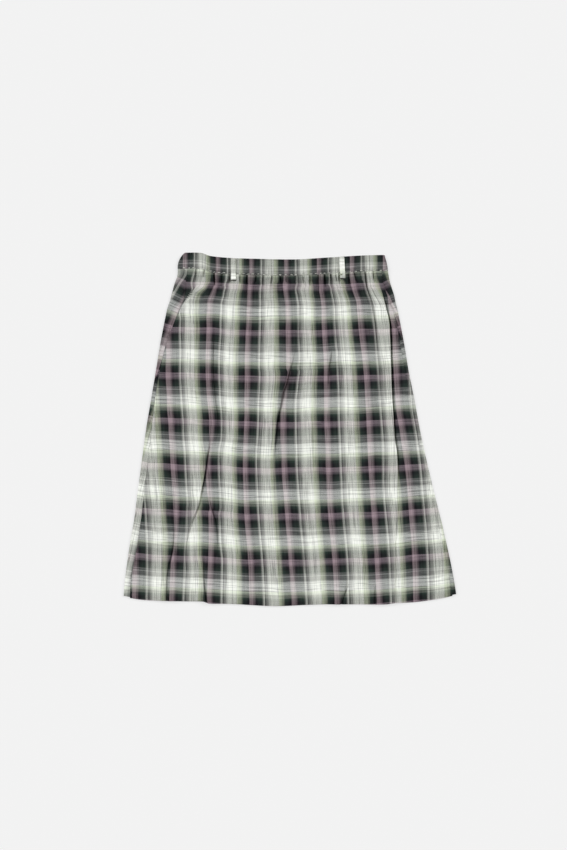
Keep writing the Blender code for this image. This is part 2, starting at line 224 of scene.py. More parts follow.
# Gathers: pleats that puff out below the casing and fade at uneven lengths, finer ones between them, narrow
# creases that start at the casing's stitches, and slack in the cloth lower down.
gathers = {
    "pleats": {"count": 18, "sway": [(0.28, 17), (0.2, 41)], "height": 9.4, "spread": 0.38, "item": 0},
    "finePleats": {"count": 43, "sway": [(0.4, 29)], "height": 1.1, "spread": 0.3, "item": 5},
    "valley": 0.45,  # share of the height that is left between two pleats
    "fade": 36.0,
    "fadeUneven": 0.6,
    "puff": 5.0,  # drop over which they rise from the casing's edge
    "fineFade": 15.0,
    "creaseWide": 1.8,  # half width of the creases
    "creaseUp": 8.0,  # how far the creases run up into the casing
    "creaseEase": 1.6,  # how soon they run out at the lower end
    # across at the casing, across at the lower end, how far it runs, how deep it is
    "creases": [
        (-188, -190, 32, 6.5), (-172, -174, 24, 7), (-152, -151, 34, 10.5), (-136, -138, 32, 10),
        (-118, -120, 24, 8), (-100, -100, 26, 7), (-86, -88, 42, 10.5), (-68, -69, 22, 6),
        (-54, -55, 28, 6.5), (-36, -38, 28, 8), (-20, -21, 20, 6), (-8, -7, 18, 11), (11, 10, 40, 9.5),
        (26, 28, 28, 6.5), (40, 40, 30, 8), (57, 58, 40, 10), (69, 71, 34, 10.5), (81, 85, 40, 10.5),
        (90, 94, 22, 6), (98, 100, 30, 9), (116, 119, 38, 10), (128, 134, 24, 10.5),
        (150, 156, 44, 10), (166, 169, 30, 7),
    ],
    "clear": 22.0,  # how far from a side seam they reach their height
    "slackHeight": 0.5,
    "slackWidth": 34.0,
    "slackLength": 150.0,
    "slackStart": 60.0,  # drop below the casing over which the slack sets in
    "slackBend": 1.7,
    # share, waves across, waves down, bend of the waves, start
    "slackWaves": [(1, 2.1, 0, 1.3, 0.6), (0.7, 3.7, -1.1, 0, 2), (0.5, 1.1, 5.3, 0, 0)],
}


def foldFade(fold, drop):
    # folds rise and run out along their length, and those that reach the hem don't run out
    top, bottom = fold["line"][0][0], fold["line"][-1][0]
    runOut = ease((bottom - drop) / fold["fall"]) if fold["fall"] else 1.0
    return ease((drop - top) / fold["rise"]) * runOut


def foldShape(fold, across, drop):
    # how high a fold lifts the cloth, and how far it is tipped towards the crease
    away = (across - smoothRead(fold["line"], 1, drop)) * fold["side"]
    crest = np.where(away < 0, bump(away / fold["gentle"]), fold["far"] * bump(away / fold["reach"]))
    wide = np.where(away < 0, fold["sharp"], fold["groove"])
    lift = fold["height"] * foldFade(fold, drop) * crest
    lift *= 1 - np.exp(-((np.abs(away) / wide) ** creaseForm["steep"]))
    lean = fold["lean"] * lift * bump(away / fold["groove"] / creaseForm["leanReach"])
    return lift, -np.sign(away) * fold["side"] * lean


def pleats(share, count, sway, height, spread, item):
    # uneven pleats side by side, from the left seam on: their numbers, their heights, and a wave along them
    phase = share * count + sum(size * np.sin(share * often) for size, often in sway)
    k = np.floor(phase)
    return k, height * mostly(k + item, spread), np.sin(math.pi * (phase - k))


def creaseDepth(across, below):
    # how deep the creases between the gathers are, below the casing's edge and a little above it
    depth = np.zeros_like(across + below)
    for start, end, run, deep in gathers["creases"]:
        place = blend(start, end, np.clip(below / run, 0, 1))
        runOut = ease((run - below) / run * gathers["creaseEase"])
        runOut *= ease((below + gathers["creaseUp"]) / gathers["creaseUp"])
        depth += deep * runOut * bump((across - place) / gathers["creaseWide"])
    return depth


def gatherLift(across, share, below):
    k, height, wave = pleats(share, **gathers["pleats"])
    fade = gathers["fade"] * (1 + uneven(k + 31, gathers["fadeUneven"]))
    lift = height * blend(gathers["valley"], 1.0, wave**2) * bump(below / fade)
    k, height, wave = pleats(share, **gathers["finePleats"])
    lift += height * np.abs(wave) * bump(below / gathers["fineFade"])
    return lift * ease((below + 2) / gathers["puff"]) - creaseDepth(across, below)


def slackLift(across, drop):
    # the cloth between the folds never lies quite flat
    wide, long = gathers["slackWidth"], gathers["slackLength"]
    sway = np.sin(drop / long * gathers["slackBend"])
    wave = sum(size * np.sin(across / wide * sideways + drop / long * down + bend * sway + start)
               for size, sideways, down, bend, start in gathers["slackWaves"])
    return gathers["slackHeight"] * (wave / sum(row[0] for row in gathers["slackWaves"]) + 1)


def sideShare(across, drop):
    left, right = edgeAt(leftSeam, drop), edgeAt(rightSeam, drop)
    return np.clip((across - left) / (right - left), 0.0, 1.0)


def frontUnder(across, drop):
    # underside of the upper wall, before its folds
    beside = bump(insideOf(leftFold, rightFold, across, drop) / lay["rollReach"])
    clear = blend(lay["clearMiddle"], lay["clearFold"], beside)
    below = np.maximum(drop - bandDrop(across, 1), 0.0)
    middleOfBand = lay["bandUnder"] + 0.5 * (lay["bandWall"] - lay["cloth"])
    return blend(lay["cloth"] + clear, middleOfBand, bump(below / lay["bandSettle"]))


def frontSurface(across, drop):
    # top of the front's cloth: its height, and how far it is tipped sideways
    below = np.maximum(drop - bandDrop(across, 1), 0.0)
    share = sideShare(across, drop)
    toSeam = insideOf(leftSeam, rightSeam, across, drop)
    lift = gatherLift(across, share, below) + slackLift(across, drop) * ease(below / gathers["slackStart"])
    lift *= ease(toSeam / gathers["clear"])
    tip = np.zeros_like(lift)
    for fold in folds.values():
        up, aside = foldShape(fold, across, drop)
        lift += up * ease(toSeam / fold["clear"])
        tip += aside * ease(toSeam / fold["clear"])
    lowest = 2 * lay["cloth"] + lay["seamGap"]
    return np.maximum(frontUnder(across, drop) + lay["cloth"] + lift, lowest), tip


# Where the check lies. A warp repeat is counted from the left edge of a rose stripe and a weft repeat from
# its upper edge. The first table has, at a few drops, the middles of the seven rose stripes of the front.
check = {
    "warpRepeat": 89.0,
    "weftRepeat": 91.8,
    "roseMiddle": 0.06,
    "roseStripes": [
        (18, -208.5, -143, -76, -6, 59, 125, 191),
        (50, -216, -147, -78, -7, 62, 127, 197),
        (66, -217, -148, -79, -7, 63, 128, 199),
        (84, -218, -153, -80, -5, 66, 133, 201),
        (98, -219, -158, -80, -3, 68, 138, 203),
        (114, -225, -159, -81, -3, 69, 140, 205),
        (130, -236, -160, -81, -2, 69, 141, 206),
        (154, -242, -160, -82, -2, 70, 143, 211),
        (206, -240, -162, -84, -1, 73, 150, 213),
        (231, -241, -162, -84, -2, 74, 153, 214),
        (256, -241, -161.5, -84, -6, 74, 155, 215),
        (290, -239, -159.5, -85, -11, 75, 157, 217),
        (320, -238, -156, -85, -12, 75, 159, 220),
        (344, -236, -154.5, -86, -12, 76, 160, 224),
        (368, -235, -156, -87, -12, 77, 161, 228),
        (394, -233, -160.5, -88, -11, 78, 162, 232),
        (432, -231, -161.5, -88, -10, 79, 164, 237),
        (518, -226, -157, -85, -3, 83, 170, 244),
        (610, -230, -157, -77, 4, 92, 176, 251),
        (692, -234, -159, -74, 10, 96, 180, 253),
    ],
    "firstStripe": -3,
    # drop, width of the last warp repeat on the left, of which a crease hides some
    "leftRepeat": [(0, 89.0), (454, 89.0), (540, 84.0), (600, 79.0), (667, 75.0), (706, 74.0)],
    # across, drop of the first rose row, and of the row that is the given number of repeats lower
    "firstRow": [(-240, 57), (-187, 59), (-150, 60), (-110, 63), (-60, 64), (0, 63.5), (110, 63), (187, 61.5),
                 (240, 60)],
    "lastRow": [(-334, 690), (-220, 698), (-150, 699.5), (-105, 704), (-60, 706), (0, 706), (110, 703),
                (200, 700), (334, 687)],
    "rowsBetween": 7,
    "waver": [(0.006, 23, 61), (0.004, 9.7, -113)],  # weft repeats by which the rows waver
    "bandRows": (0.16, 0.455),  # shares of a weft repeat at the upper and lower edge of the casing
    "bandStripes": 18.0,  # drop at which the casing takes over the front's columns
    "bandRepeat": 68.0,  # warp repeat past them, drawn in by the elastic
    # back of the skirt, unrolled: across, warp repeats
    "backWarp": [(-420, -1.694), (-237.5, 0.38), (231.3, 6.15), (420, 8.294)],
    # drop, warp repeats by which the left strip has slipped inwards
    "leftSlip": [(0, -0.03), (130, -0.02), (200, 0.0), (454, 0.0), (562, 0.10), (608, 0.163), (688, 0.225),
                 (706, 0.235)],
    "slipReach": 150.0,
    # the right strip carries on the front's check from this drop, fully so after the second length
    "join": (180.0, 60.0),
    "stripeRepeat": 6.06,  # warp repeats of the back where that stripe would lie
    "edgeRepeat": 89.5,  # width of the last warp repeat on the right
    # across, drop of the first row of the back, unrolled, and the repeat there
    "backRow": [(-340, 47.5, 92.4), (340, 56.0, 91.2)],
}


def roseStripesAt(drop):
    # middles of the rose stripes across the front, with two more on the left and one on the right
    inner = [smoothRead(check["roseStripes"], column, drop) for column in range(1, 8)]
    first = inner[0] - smoothRead(check["leftRepeat"], 1, drop)
    return np.stack([first - check["warpRepeat"], first, *inner, inner[-1] + check["edgeRepeat"]], axis=-1)


def roseRepeats():
    # warp repeats at the middles of those stripes
    return check["firstStripe"] + np.arange(-2, 8) + check["roseMiddle"]


def frontWarp(across, drop, height):
    # warp repeats at a grid of rows of points, from the length of cloth between the rose stripes
    step = np.hypot(np.diff(across, axis=1), np.diff(height, axis=1))
    cloth = np.concatenate([np.zeros((len(step), 1)), np.cumsum(step, axis=1)], axis=1)
    for fold in folds.values():
        crease = smoothRead(fold["line"], 1, drop)
        cloth += fold["tuck"] * foldFade(fold, drop) * ease((across - crease) / fold["groove"] + 0.5)
    stripes = roseStripesAt(drop.mean(axis=1))
    beyond = 200.0
    warp = np.empty_like(across)
    for i in range(len(across)):
        places, lengths = ([row[0] - beyond, *row, row[-1] + beyond] for row in (across[i], cloth[i]))
        warp[i] = np.interp(cloth[i], np.interp(stripes[i], places, lengths), roseRepeats())
    return warp


def frontWeft(across, drop):
    first = smoothRead(check["firstRow"], 1, across)
    last = smoothRead(check["lastRow"], 1, across)
    waver = sum(size * np.sin(across / wide + drop / long) for size, wide, long in check["waver"])
    return (drop - first) / (last - first) * check["rowsBetween"] + waver


def backCheck(across, drop):
    rows = np.array(check["backWarp"])
    warp = np.interp(across, rows[:, 0], rows[:, 1])
    first = smoothRead(check["backRow"], 1, across)
    repeat = smoothRead(check["backRow"], 2, across)
    return warp, (drop - first) / repeat


unroll = {"above": 28.0, "below": 36.0, "turn": 1.7}  # reach of the side fold's slope, and its share


def unrolled(fold, side, distance, dropAt):
    # where a point of a side strip, this far inside its fold, would lie if the back were spread out flat
    column = leftFold if side < 0 else rightFold
    above = edgeAt(column, dropAt - unroll["above"])
    below = edgeAt(column, dropAt + unroll["below"])
    angle = unroll["turn"] * np.arctan(np.abs(below - above) / (unroll["above"] + unroll["below"]))
    return fold + side * distance * np.cos(angle), dropAt - distance * np.sin(angle)


# How closely the front's columns stand: each crease crowds them over its own width.
crowding = {
    "spots": 801,  # places tried across a row
    "folds": 40.0,
    "narrowest": 6.0,
    "foldReach": 20.0,  # how far past a fold's ends
    "gathers": 3.4,
    "gatherReach": 3.0,
    "gatherRun": 1.3,  # share of a gather's crease
    "gatherFade": 10.0,
    "margin": 1.0,
}
turnedEdge = [0.0, 0.12, 0.45, 1.0]  # places close to an edge that is rounded off


def crowdedColumns(left, right, drop):
    # places across each row, closer together at the creases, and three more close to each seam
    inner = blend(left[:, None], right[:, None], np.linspace(0, 1, crowding["spots"]))
    rowDrop = np.broadcast_to(drop[:, None], inner.shape)
    density = np.ones_like(inner)
    reach = crowding["foldReach"]
    for fold in folds.values():
        top, bottom = fold["line"][0][0], fold["line"][-1][0]
        near = ease((rowDrop - top + reach) / reach / 2) * ease((bottom + reach - rowDrop) / reach / 2)
        wide = fold["groove"] + fold["sharp"]
        crowd = crowding["folds"] / wide * min(1.0, crowding["narrowest"] / wide)
        density += near * crowd * bump((inner - smoothRead(fold["line"], 1, rowDrop)) / wide)
    below = np.maximum(rowDrop - bandDrop(inner, 1), 0)
    for start, end, run, _ in gathers["creases"]:
        near = ease((crowding["gatherRun"] * run - below) / crowding["gatherFade"])
        away = inner - blend(start, end, np.clip(below / run, 0, 1))
        density += crowding["gathers"] * near * bump(away / crowding["gatherReach"])
    total = np.cumsum(density, axis=1)
    total = (total - total[:, :1]) / (total[:, -1:] - total[:, :1])
    even = np.linspace(0, 1, panel["columns"] - 2 * len(turnedEdge) + 2)[1:-1]
    margin, edge = crowding["margin"], np.array(turnedEdge)
    rows = []
    for start, end, places in zip(left, right, total):
        middle = np.interp(even, places, np.linspace(start + margin, end - margin, len(places)))
        rows.append(np.concatenate([start + edge, middle, end - edge[::-1]]))
    return np.array(rows)


def roundOff(distance, radius):
    # how much half a wall thins out near its turned edge, which never closes quite
    inside = np.clip(1 - distance / radius, 0.0, 0.97)
    return 1 - np.sqrt(1 - inside**2)


def gridNormals(points):
    down = np.gradient(points, axis=0)
    right = np.gradient(points, axis=1)
    normal = np.cross(down, right)
    return normal / np.maximum(np.linalg.norm(normal, axis=-1, keepdims=True), 1e-9)


def addObject(name, data):
    made = bpy.data.objects.new(name, data)
    scene.collection.objects.link(made)
    return made


def roundedWall(name, outer, inner, share, warpAndWeft):
    # a wall whose two faces draw together by half this share at its turned edges
    thin = share[..., None] * 0.5
    return closedWall(name, blend(outer, inner, thin), blend(inner, outer, thin), warpAndWeft)


def closedWall(name, outer, inner, warpAndWeft):
    # one closed body from two grids of points, with the check's repeats as its UV map
    rows, columns = outer.shape[:2]
    count = rows * columns
    index = np.arange(count).reshape(rows, columns)
    a, b = index[:-1, :-1].ravel(), index[1:, :-1].ravel()
    c, d = index[1:, 1:].ravel(), index[:-1, 1:].ravel()
    rim = np.concatenate([index[0, :-1], index[:-1, -1], index[-1, :0:-1], index[:0:-1, 0]])
    after = np.roll(rim, -1)
    faces = np.concatenate([
        np.stack([a, b, c, d], axis=1),
        np.stack([d, c, b, a], axis=1) + count,
        np.stack([rim, after, after + count, rim + count], axis=1),
    ])
    points = np.concatenate([outer.reshape(-1, 3), inner.reshape(-1, 3)]) * mm
    mesh = bpy.data.meshes.new(name)
    mesh.vertices.add(len(points))
    mesh.vertices.foreach_set("co", points.ravel())
    mesh.loops.add(faces.size)
    mesh.loops.foreach_set("vertex_index", faces.ravel())
    mesh.polygons.add(len(faces))
    mesh.polygons.foreach_set("loop_start", np.arange(len(faces)) * 4)
    mesh.update(calc_edges=True)
    layer = mesh.uv_layers.new(name="sett")
    repeats = np.tile(np.stack([grid.ravel() for grid in warpAndWeft], axis=1), (2, 1))
    layer.data.foreach_set("uv", repeats[faces.ravel()].ravel())
    mesh.validate()
    mesh.shade_smooth()
    return addObject(name, mesh)


def spot(across, drop, height):
    return np.stack([across, lay["length"] / 2 - drop, height], axis=-1)


panel = {
    "columns": 286,
    "rows": 160,
    "crowding": 1.25,  # how much closer the rows stand below the casing
    "edge": 1.0,  # radius of the turned edges
    "hemDepth": 25.0,
    "hemTurn": 0.5,  # how much thicker the turned hem is
    "hemStep": 3.0,
}


def panelShares(rows):
    # shares down a panel, closer below the casing, and three more at the turned hem
    edge = panel["edge"] / (lay["length"] - lay["bandHeight"] - lay["topDip"])
    even = (np.arange(rows - 3) / (rows - 4)) ** panel["crowding"] * (1 - edge)
    return np.concatenate([even, 1 - edge * np.array(turnedEdge[2::-1])])


def hemTurn(across, drop):
    above = hemAt(across) - drop
    return panel["hemTurn"] * ease((panel["hemDepth"] - above) / panel["hemStep"] + 0.5)


def makeFront():
    t = panelShares(panel["rows"])
    left, right = seamEdges(frontDrop, t)
    across = crowdedColumns(left, right, frontDrop(0.5 * (left + right), t))
    drop = frontDrop(across, t[:, None])
    height, tip = frontSurface(across, drop)
    outer = spot(across + tip, drop, height)
    thick = lay["cloth"] + hemTurn(across, drop)
    inner = outer - gridNormals(outer) * thick[..., None]
    toHem = hemAt(across) - drop
    toSeam = np.minimum(across - across[:, :1], across[:, -1:] - across)
    thin = roundOff(np.minimum(toHem, toSeam), panel["edge"])
    checkAt = frontWarp(across, drop, height), frontWeft(across, drop)
    return roundedWall("skirtFront", outer, inner, thin, checkAt)


strips = {"stripColumns": 14, "rollSteps": 12, "flatColumns": 46, "rows": 190, "first": 0.02}


def wrappedWall(name, t, dropAt, wall, underAt, turnAt, thinAt, checkAt):
    # a wall that lies on the ground and rolls over both side folds up to the side seams
    sides, foldPlaces = [], []
    for foldColumn, seamColumn, side in ((leftFold, leftSeam, -1), (rightFold, rightSeam, 1)):
        fold = edgePlace(foldColumn, dropAt, t)
        seam = edgePlace(seamColumn, dropAt, t) + side * lay["seamGap"] / 2
        radius = (underAt(fold - side * 2 * wall, dropAt(fold, t)) + wall) / 2
        centre = fold - side * radius
        points = []
        for share in [0.0, *np.linspace(strips["first"], 1, strips["stripColumns"] + 1)[:-1]]:
            across = blend(seam, centre, share)
            drop = dropAt(across, t)
            under = underAt(across, drop)
            points.append((across, drop, under + wall, across, under, np.abs(across - fold)))
        for k in range(strips["rollSteps"] + 1):
            angle = math.pi * (0.5 - k / strips["rollSteps"])
            out, up = side * math.cos(angle), math.sin(angle)
            drop = dropAt(centre, t)
            points.append((centre + radius * out, drop, radius + radius * up,
                           centre + (radius - wall) * out, radius + (radius - wall) * up,
                           radius * max(angle, 0)))
        sides.append(points)
        foldPlaces.append(fold[:, None])
    start, end = sides[0][-1][0], sides[1][-1][0]
    flat = []
    for k in range(1, strips["flatColumns"]):
        across = blend(start, end, k / strips["flatColumns"])
        drop = dropAt(across, t)
        flat.append((across, drop, 0, across, wall + turnAt(across, drop), 0))
    section = sides[0] + flat + sides[1][::-1]
    across, drop, height, innerAcross, innerHeight, inside = (
        np.stack([entry[i] + 0 * t for entry in section], axis=1) for i in range(6))
    outer, inner = spot(across, drop, height), spot(innerAcross, drop, innerHeight)
    fold = np.where(across < 0, *foldPlaces)
    return roundedWall(name, outer, inner, thinAt(across, drop), checkAt(across, drop, inside, fold))


def edgeCheck(across, drop):
    # the front's check, carried on past its last rose stripe
    stripe = smoothRead(check["roseStripes"], 7, drop)
    return check["stripeRepeat"] + (across - stripe) / check["edgeRepeat"], frontWeft(across, drop)


def backUv(across, drop, inside, fold):
    onLeft, rolled = across < 0, inside > 0
    spread = zip(unrolled(fold, -1, inside, drop), unrolled(fold, 1, inside, drop), (across, drop))
    warp, weft = backCheck(*(np.where(rolled, np.where(onLeft, a, b), flat) for a, b, flat in spread))
    near = np.where(rolled, 1.0, ease(1 - np.abs(across - fold) / check["slipReach"]))
    warp += np.where(onLeft, smoothRead(check["leftSlip"], 1, drop) * near, 0.0)
    foldWarp, foldWeft = backCheck(fold, drop)
    edgeWarp, edgeWeft = edgeCheck(np.where(rolled, across, fold), drop)
    join = np.where(onLeft, 0.0, ease((drop - check["join"][0]) / check["join"][1]) * near)
    warp += join * (edgeWarp - np.where(rolled, warp, foldWarp))
    weft += join * (edgeWeft - np.where(rolled, weft, foldWeft))
    return warp, weft


def makeBack():
    t = panelShares(strips["rows"])
    return wrappedWall("skirtBack", t, backDrop, lay["cloth"], frontUnder, hemTurn,
                       lambda a, d: roundOff(hemAt(a) - lay["backShorter"] - d, panel["edge"]), backUv)


band = {
    "columns": 420,
    # shares of its height where the rows stand
    "levels": [0, 0.004, 0.015, 0.037, 0.1, 0.2, 0.3, 0.4, 0.5, 0.6, 0.7, 0.8, 0.86, 0.89, 0.915, 0.935,
               0.955, 0.975, 0.99, 1],
    "ripples": {"count": 26, "sway": [(0.3, 23)], "height": 1.2, "spread": 0.3, "item": 7},
    "fineRipples": {"count": 61, "sway": [(0.35, 37)], "height": 0.3, "spread": 0.3, "item": 19},
    "fineGrow": 1.5,  # how soon the fine ripples grow below the upper edge
    "settle": 20.0,  # how soon the ripples grow beside a side seam
    "edge": 1.2,  # radius of the turned edges
    "foot": 0.8,  # share of that roundness at the lower edge
    "crown": 0.4,
    "stitchLevel": 0.955,  # where the row of stitches runs
    "sunk": 1.3,  # how deep it pulls the casing in
    "sunkWide": 1.8,
    "sunkUneven": (0.4, 211),
    "pucker": 0.4,  # share of the gathers' creases that shows in the lower edge
}


def bandTop(across, drop, t):
    share = sideShare(across, drop)
    _, height, wave = pleats(share, **band["ripples"])
    _, fineHeight, fineWave = pleats(share, **band["fineRipples"])
    ripple = height * wave**2 + fineHeight * fineWave**2 * ease(t * band["fineGrow"])
    ripple *= ease(np.minimum(share, 1 - share) * band["settle"]) * blend(0.5, 1.0, t)
    size, often = band["sunkUneven"]
    sunk = band["sunk"] * bump((t - band["stitchLevel"]) * lay["bandHeight"] / band["sunkWide"])
    sunk = sunk * (1 - size + size * np.sin(share * often))
    pucker = band["pucker"] * creaseDepth(across, (t - 1) * lay["bandHeight"])
    top = lay["bandUnder"] + lay["bandWall"] + band["crown"] * np.sin(math.pi * t) + ripple - sunk - pucker
    return np.maximum(top, lay["bandUnder"] + lay["cloth"])


def bandUv(across, drop, inside, fold):
    # the casing keeps the front's columns, also where it wraps over the side folds
    stripes, repeats = roseStripesAt(np.full(1, check["bandStripes"]))[0], roseRepeats()
    warp = np.interp(across, stripes, repeats)
    for end, past in ((2, across < stripes[2]), (-2, across > stripes[-2])):
        warp = np.where(past, repeats[end] + (across - stripes[end]) / check["bandRepeat"], warp)
    return warp, blend(*check["bandRows"], (drop - bandDrop(across, 0)) / lay["bandHeight"])


def makeBandFront():
    t = np.array(band["levels"])
    left, right = seamEdges(bandDrop, t)
    across = blend(left[:, None], right[:, None], np.linspace(0, 1, band["columns"]))
    drop = bandDrop(across, t[:, None])
    top = bandTop(across, drop, t[:, None])
    outer, inner = spot(across, drop, top), spot(across, drop, lay["bandUnder"] + 0 * top)
    fromTop = t[:, None] * lay["bandHeight"] + 0 * across
    foot = band["foot"] * roundOff(lay["bandHeight"] - fromTop, band["edge"])
    thin = np.maximum(roundOff(fromTop, band["edge"]), foot)
    return roundedWall("bandFront", outer, inner, thin, bandUv(across, drop, None, None))


def makeBandBack():
    t = np.array(band["levels"])
    return wrappedWall("bandBack", t, bandDrop, lay["bandWall"], lambda a, d: lay["bandUnder"] + 0 * d,
                       lambda a, d: 0 * d, lambda a, d: roundOff(d - bandDrop(a, 0), band["edge"]), bandUv)


loops = {
    "width": 10.5,
    "thick": 1.3,
    "length": 43.0,
    "bow": 1.6,
    "start": 0.6,
    "stepDown": 12.0,  # over which a loop comes down from the casing to the gathers
    "crown": 0.25,
    "edge": 0.7,
    "stitchAt": 0.74,  # share of half the width where the edge stitching runs
    "stitchWide": 0.1,
    "stitchDeep": 0.22,
    # name, across at the upper end, lean to the right, warp and weft repeats at its upper left corner
    "places": [("loopLeft", -113, 0.0, 0.575, 0.14), ("loopRight", 103, 2.5, 0.57, 0.42)],
}


def loopBase(middle, drop):
    # highest point of the casing or of the gathers under each cross-section of a belt loop
    tops = []
    for side in (-1, -0.5, 0, 0.5, 1):
        across = middle + side * loops["width"] / 2
        t = np.minimum((drop - bandDrop(across, 0)) / lay["bandHeight"], 1.0)
        onBand = bandTop(across, drop, t)
        onFront = frontSurface(across, drop)[0]
        below = drop - bandDrop(across, 1)
        tops.append(np.where(below > 0, blend(onBand, onFront, ease(below / loops["stepDown"])), onBand))
    return np.max(tops, axis=0)


def makeLoop(name, place, lean, warpStart, weftStart):
    t = np.concatenate([[0, 0.01, 0.025], np.linspace(0.05, 0.95, 28), [0.975, 0.99, 1]])
    start = bandDrop(place, 0) + loops["start"]
    side = np.array([-1, -0.97, -0.88, -0.74, -0.4, 0, 0.4, 0.74, 0.88, 0.97, 1])
    drop = start + loops["length"] * t
    base = loopBase(place + lean * t, drop) + lay["seamGap"] + loops["bow"] * np.sin(math.pi * t)
    across = (place + lean * t)[:, None] + side * loops["width"] / 2
    drop = drop[:, None] + 0 * across
    edgeStitch = loops["stitchDeep"] * bump((np.abs(side) - loops["stitchAt"]) / loops["stitchWide"])
    top = base[:, None] + loops["thick"] + loops["crown"] * (1 - side**2) - edgeStitch
    outer, inner = spot(across, drop, top), spot(across, drop, base[:, None] + 0 * across)
    fromSide = (1 - np.abs(side)) * loops["width"] / 2
    fromEnd = np.minimum(t, 1 - t)[:, None] * loops["length"]
    thin = roundOff(np.minimum(fromSide, fromEnd), loops["edge"])
    warp = warpStart + (side + 1) / 2 * loops["width"] / check["warpRepeat"] + 0 * drop
    weft = weftStart + (t * loops["length"])[:, None] / check["weftRepeat"] + 0 * across
    return roundedWall(name, outer, inner, thin, (warp, weft))


stitches = {
    "reach": (-214.0, 192.0),
    "long": 5.0,
    "longUneven": 0.45,
    "pitch": 9.6,
    "pitchUneven": 0.3,
    "thick": 1.4,
    "sag": 0.3,
    "sides": 6,
    "proud": 0.12,
    "sunk": 0.5,  # how deep the deepest stitch is drawn in
    "waver": [(0.5, 0.21), (0.4, 0.57)],  # how the row strays from its level
    # share of the length, girth, share of the sag
    "form": [(0.0, 0.45, 1.0), (0.12, 0.85, 0.3), (0.5, 1.0, 0.0), (0.88, 0.85, 0.3), (1.0, 0.45, 1.0)],
}
# sizes of the dark bar tacks, which also stand in for the shadow under the loops' ends: partly painted shade
tacksAndShade = {"count": 13, "thick": 0.9, "sag": 0.2, "margin": 0.8, "below": 0.2, "slant": 0.25,
         "from": (0.9, 1.2), "to": (-1.5, 0.4)}  # up the skirt, and above what the loop lies on


def threadBody(vertices, faces, start, end, thick, sag):
    # one stitch: a short thread from start to end, whose ends dip into the cloth
    start, end = np.array(start, float), np.array(end, float)
    along = (end - start) / np.linalg.norm(end - start)
    upward = np.array([0, 0, 1.0])
    aside = np.cross(along, upward)
    aside /= np.linalg.norm(aside)
    first, sides, form = len(vertices), stitches["sides"], stitches["form"]
    for share, girth, dip in form:
        centre = blend(start, end, share) - upward * dip * sag
        for k in range(sides):
            angle = 2 * math.pi * k / sides
            vertices.append(centre + thick / 2 * girth * (aside * math.cos(angle) + upward * math.sin(angle)))
    for ring in range(len(form) - 1):
        for k in range(sides):
            a, b = first + ring * sides + k, first + ring * sides + (k + 1) % sides
            faces.append((a, b, b + sides, a + sides))
    faces.append(tuple(first + k for k in range(sides))[::-1])
    faces.append(tuple(first + (len(form) - 1) * sides + k for k in range(sides)))


def threadPiece(name, runs, thick, sag):
    vertices, faces = [], []
    for start, end in runs:
        threadBody(vertices, faces, start, end, thick, sag)
    mesh = bpy.data.meshes.new(name)
    mesh.from_pydata([tuple(v * mm) for v in vertices], [], faces)
    mesh.shade_smooth()
    return addObject(name, mesh)


def makeCasingStitches():
    # the row that closes the casing, from fold to fold
    runs = []
    level, (across, last) = band["stitchLevel"], stitches["reach"]
    while across < last:
        ends = []
        sunk = stitches["sunk"] * mostly(across * 1.7, 0.5) ** 2
        for x in (across, across + stitches["long"] * (1 + uneven(across * 0.83, stitches["longUneven"]))):
            drop = bandDrop(x, level) + sum(size * math.sin(x * often) for size, often in stitches["waver"])
            if edgeAt(leftSeam, drop) < x < edgeAt(rightSeam, drop):
                top = bandTop(x, drop, level)
            else:
                top = lay["bandUnder"] + lay["bandWall"]
            ends.append((x, lay["length"] / 2 - drop, top + stitches["proud"] - sunk))
        runs.append(ends)
        across += stitches["pitch"] * (1 + uneven(across, stitches["pitchUneven"]))
    return threadPiece("casingStitches", runs, stitches["thick"], stitches["sag"])


def makeLoopTacksAndShade():
    # a dark bar tack across the lower end of each belt loop, which also stands in for the shadow under that
    # end: partly painted shade
    runs = []
    for _, place, lean, _, _ in loops["places"]:
        drop = bandDrop(place, 0) + loops["start"] + loops["length"] + tacksAndShade["below"]
        middle = place + lean
        base = loopBase(middle, drop)
        for k in range(tacksAndShade["count"]):
            x = middle + (k / (tacksAndShade["count"] - 1) - 0.5) * (loops["width"] - tacksAndShade["margin"])
            runs.append([(x + turn * tacksAndShade["slant"], lay["length"] / 2 - drop + up, base + rise)
                         for turn, (up, rise) in ((-1, tacksAndShade["from"]), (1, tacksAndShade["to"]))])
    return threadPiece("loopTacksAndShade", runs, tacksAndShade["thick"], tacksAndShade["sag"])


def feed(node, values):
    # links wires to the inputs of a node, or gives them fixed values
    for key, value in values.items():
        if isinstance(value, Wire):
            node.id_data.links.new(value.socket, node.inputs[key])
        else:
            node.inputs[key].default_value = value


class Wire:
    # one socket of a material; + - * on it add Math nodes
    def __init__(self, tree, socket):
        self.tree, self.socket = tree, socket

    def node(self, kind, values=None, out=0, **settings):
        made = self.tree.nodes.new("ShaderNode" + kind)
        for key, value in settings.items():
            if key == "stops":
                ramp = made.color_ramp.elements
                ramp.remove(ramp[1])
                ramp[0].position, ramp[0].color = value[0][0], (*value[0][1], 1)
                for place, colour in value[1:]:
                    ramp.new(place).color = (*colour, 1)
            else:
                setattr(made, key, value)
        feed(made, values or {})
        return Wire(self.tree, made.outputs[out])

    def maths(self, operation, a, b=0.0):
        return self.node("Math", {0: a, 1: b}, operation=operation)

    def times(self, factor):
        # a colour, made lighter or darker
        return self.node("VectorMath", {0: self, "Scale": factor}, operation="SCALE")

    def __add__(self, other):
        return self.maths("ADD", self, other)

    __radd__ = __add__

    def __sub__(self, other):
        return self.maths("SUBTRACT", self, other)

    def __rsub__(self, other):
        return self.maths("SUBTRACT", other, self)

    def __mul__(self, other):
        return self.maths("MULTIPLY", self, other)

    __rmul__ = __mul__


